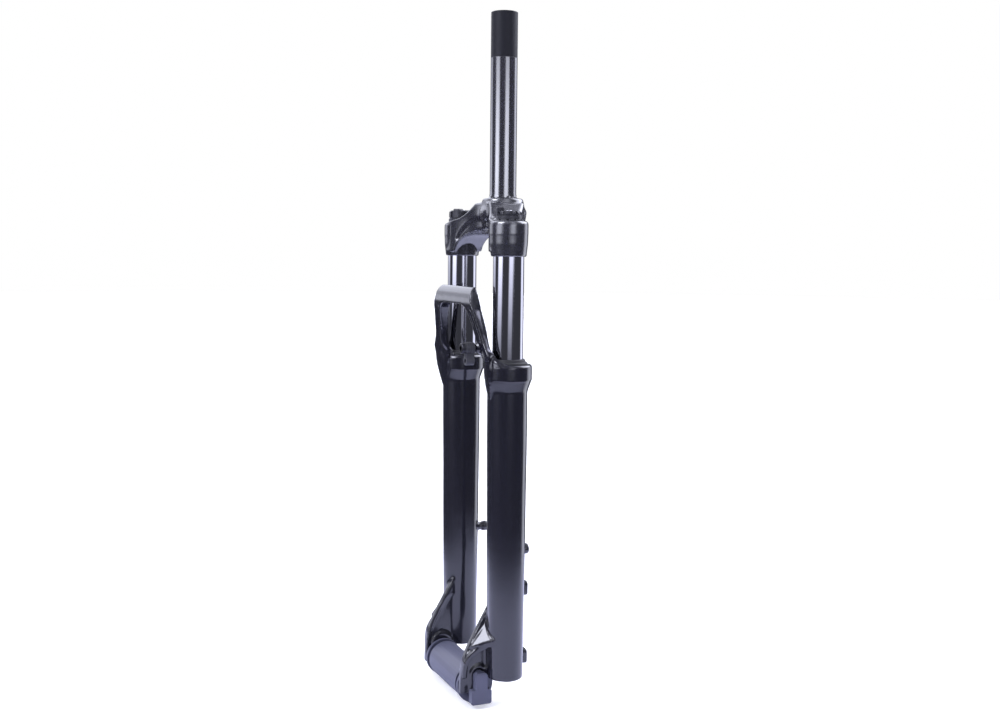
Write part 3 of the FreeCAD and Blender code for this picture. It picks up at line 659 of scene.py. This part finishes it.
def overhead_lamp():
    """A square lamp above and behind the fork, which lights it but is in no reflection."""
    data = bpy.data.lights.new("overhead", "AREA")
    data.shape = "SQUARE"
    data.size = LAMP_SIZE
    data.energy = LAMP_RADIANCE * pi * LAMP_SIZE * LAMP_SIZE
    data.color = LAMP_COLOR
    lamp = bpy.data.objects.new("overhead", data)
    lamp.location = LAMP_PLACE
    lamp.rotation_euler = (LAMP_TARGET - LAMP_PLACE).to_track_quat("-Z", "Y").to_euler()
    lamp.visible_glossy = False
    bpy.context.scene.collection.objects.link(lamp)


FLOOR_GLOW = 0.28
FLOOR_RADIUS = 12.0
TABLE_FADE = (0.34, 0.72)
TABLE_GAP = 0.5 * MM
DISC_SIDES = 96


def floor_material(name, fade=None):
    """Pale matt floor; with a fade it thins out between two distances from the middle."""
    m = bpy.data.materials.new(name)
    sh = Shader(m)
    at = place_coords(sh)
    tone = sh.noise(at, 2.0, 2.0)
    seen = sh.n("ShaderNodeLightPath", 0)
    color = sh.mix(seen, rgb(0.66, 0.67, 0.84), sh.mix(tone, rgb(0.86, 0.86, 0.88), rgb(0.9, 0.9, 0.92)))
    bsdf = sh.n("ShaderNodeBsdfPrincipled", inputs={"Base Color": color, "Roughness": 0.7})
    glow = sh.n("ShaderNodeEmission", inputs={"Color": rgb(1, 1, 1), "Strength": FLOOR_GLOW})
    both = sh.n("ShaderNodeAddShader", inputs={0: bsdf, 1: glow})
    shown = sh.n("ShaderNodeMixShader", inputs={0: seen, 1: bsdf, 2: both})
    if fade:
        away = sh.length(at)
        clear = sh.n("ShaderNodeBsdfTransparent")
        shown = sh.n("ShaderNodeMixShader", inputs={0: sh.ramp(away, *fade), 1: shown, 2: clear})
    sh.n("ShaderNodeOutputMaterial", inputs={"Surface": shown})
    return m


def disc(name, radius, z, material):
    bm = bmesh.new()
    bmesh.ops.create_circle(bm, cap_ends=True, segments=DISC_SIDES, radius=radius)
    mesh = bpy.data.meshes.new(name)
    bm.to_mesh(mesh)
    bm.free()
    obj = bpy.data.objects.new(name, mesh)
    obj.location = (0, 0, z)
    bpy.context.scene.collection.objects.link(obj)
    paint(obj, material)
    return obj


def stage():
    """A small table that fades out, on a wide floor that only the camera and dull light see."""
    low = CAD_BOX[0].z - TABLE_GAP
    disc("table", TABLE_FADE[1], low, floor_material("pale_table", TABLE_FADE))
    wide = disc("floor", FLOOR_RADIUS, low - TABLE_GAP, floor_material("pale_floor"))
    wide.visible_glossy = False
    wide.visible_shadow = False
    overhead_lamp()


def camera():
    data = bpy.data.cameras.new("camera")
    data.sensor_width = SENSOR_MM
    data.lens = LENS_MM
    data.clip_end = FAR_CLIP
    cam = bpy.data.objects.new("camera", data)
    a, p, r = VIEW_AZIMUTH, VIEW_PITCH, VIEW_ROLL
    back = Vector((sin(a) * cos(p), -cos(a) * cos(p), sin(p)))
    side = Vector((cos(a), sin(a), 0))
    up = back.cross(side)
    right = side * cos(r) + up * sin(r)
    up = -side * sin(r) + up * cos(r)
    level_back = Vector((sin(a), -cos(a), 0))
    place = Vector((0, LEG_Y, VIEW_HEIGHT)) + level_back * VIEW_DISTANCE + side * VIEW_SIDE
    turn = Matrix((right, up, back)).transposed().to_4x4()
    cam.matrix_world = Matrix.Translation(place) @ turn
    bpy.context.scene.collection.objects.link(cam)
    bpy.context.scene.camera = cam


# ------------------------------------------------------------------ build

GLOSS = gloss_black_paint()
SATIN = satin_black_paint()
KNOB = moulded_plastic("knob_plastic", rgb(0.018, 0.018, 0.022), rgb(0.03, 0.03, 0.036), (0.34, 0.46))
GUIDE = moulded_plastic("guide_plastic", rgb(0.03, 0.03, 0.034), rgb(0.045, 0.045, 0.05), (0.42, 0.55))
SPACER = moulded_plastic("spacer_plastic", rgb(0.05, 0.052, 0.078), rgb(0.075, 0.078, 0.115), (0.38, 0.5),
                         grain=1100.0)
ACETAL = moulded_plastic("acetal", rgb(0.7, 0.7, 0.68), rgb(0.8, 0.8, 0.78), (0.35, 0.5))
ELASTOMER = moulded_plastic("elastomer", rgb(0.4, 0.3, 0.08), rgb(0.5, 0.38, 0.1), (0.5, 0.6))
FOAM = moulded_plastic("foam", rgb(0.05, 0.05, 0.05), rgb(0.08, 0.08, 0.08), (0.9, 0.98), grain=600.0)
ALLOY = turned_metal("turned_alloy", (0.75, 0.76, 0.78), 0.3)
STEEL = turned_metal("plated_steel", (0.62, 0.62, 0.65), 0.28)
BLACK_STEEL = turned_metal("black_oxide_steel", (0.07, 0.07, 0.08), 0.3)
WIRE = turned_metal("spring_wire", (0.16, 0.16, 0.18), 0.4)
BRONZE = turned_metal("bronze", (0.5, 0.34, 0.16), 0.42)

FINISHES = {
    "gloss_black": GLOSS,
    "satin_black": SATIN,
    "steerer_black": steerer_paint(),
    "chrome": chrome(),
    "knob_plastic": KNOB,
    "guide_plastic": GUIDE,
    "spacer_plastic": SPACER,
    "white_plastic": ACETAL,
    "rubber_black": seal_rubber(),
    "foam": FOAM,
    "elastomer": ELASTOMER,
    "bright_steel": STEEL,
    "black_steel": BLACK_STEEL,
    "spring_steel": WIRE,
    "alloy": ALLOY,
    "bronze": BRONZE,
}

for part in frame["record"]["subparts"]:
    paint(NODES[part["node"]], FINISHES[part["material_slot"]])
    smooth_faces(part["node"])

paint(casting(), GLOSS)
paint(forged_crown(), SATIN)

stage()
world_light()
camera()
bpy.context.scene.view_settings.view_transform = "Standard"
